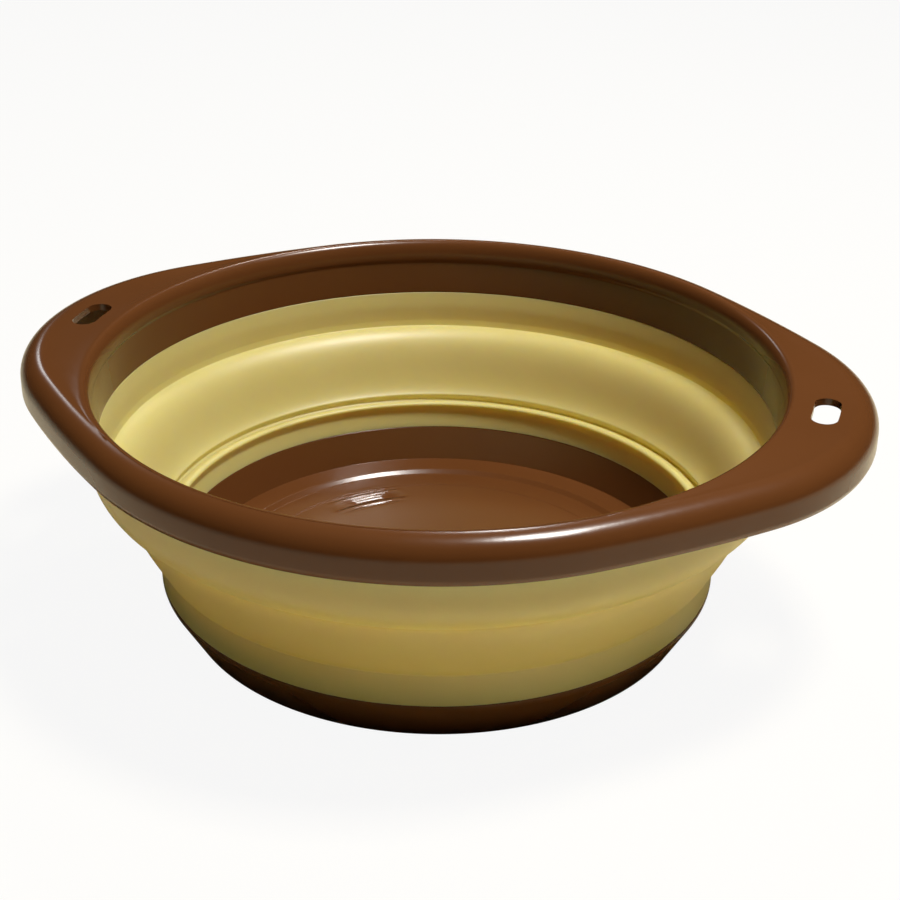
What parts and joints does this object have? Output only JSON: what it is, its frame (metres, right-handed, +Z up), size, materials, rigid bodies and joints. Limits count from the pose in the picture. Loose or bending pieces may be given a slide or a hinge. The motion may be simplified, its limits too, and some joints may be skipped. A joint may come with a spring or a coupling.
{
  "type": "collapsible basin",
  "caption": "Round folding basin: hard rim with two slotted handle lobes, soft stepped wall that folds flat, and hard base pan with a foot.",
  "frame": {"origin": "centre of the foot, in the plane that the basin stands on", "axes": "+Z up along the basin's axis, out of its mouth; +X through the middle of one handle lobe, with the other lobe at -X"},
  "size_m": [0.324, 0.28, 0.1],
  "materials": {
    "rim_frame": "glossy",
    "upper_ring": "satin",
    "middle_ring": "satin",
    "lower_ring": "satin",
    "base_pan": "glossy"
  },
  "bodies": {
    "base": {"base_pan": "base_pan", "lower_ring": "lower_ring"},
    "middle": {"middle_ring": "middle_ring"},
    "rim": {"rim_frame": "rim_frame", "upper_ring": "upper_ring"}
  },
  "joints": [
    {"name": "collapse", "type": "slide", "parent": "base", "child": "rim", "axis": [0, 0, -1], "range_m": [0, 0.05]},
    {"name": "middle_fold", "type": "slide", "parent": "base", "child": "middle", "axis": [0, 0, -1], "range_m": [0, 0.025]}
  ],
  "couplings": [
    {"joint": "middle_fold", "follows": "collapse", "ratio": 0.5}
  ]
}
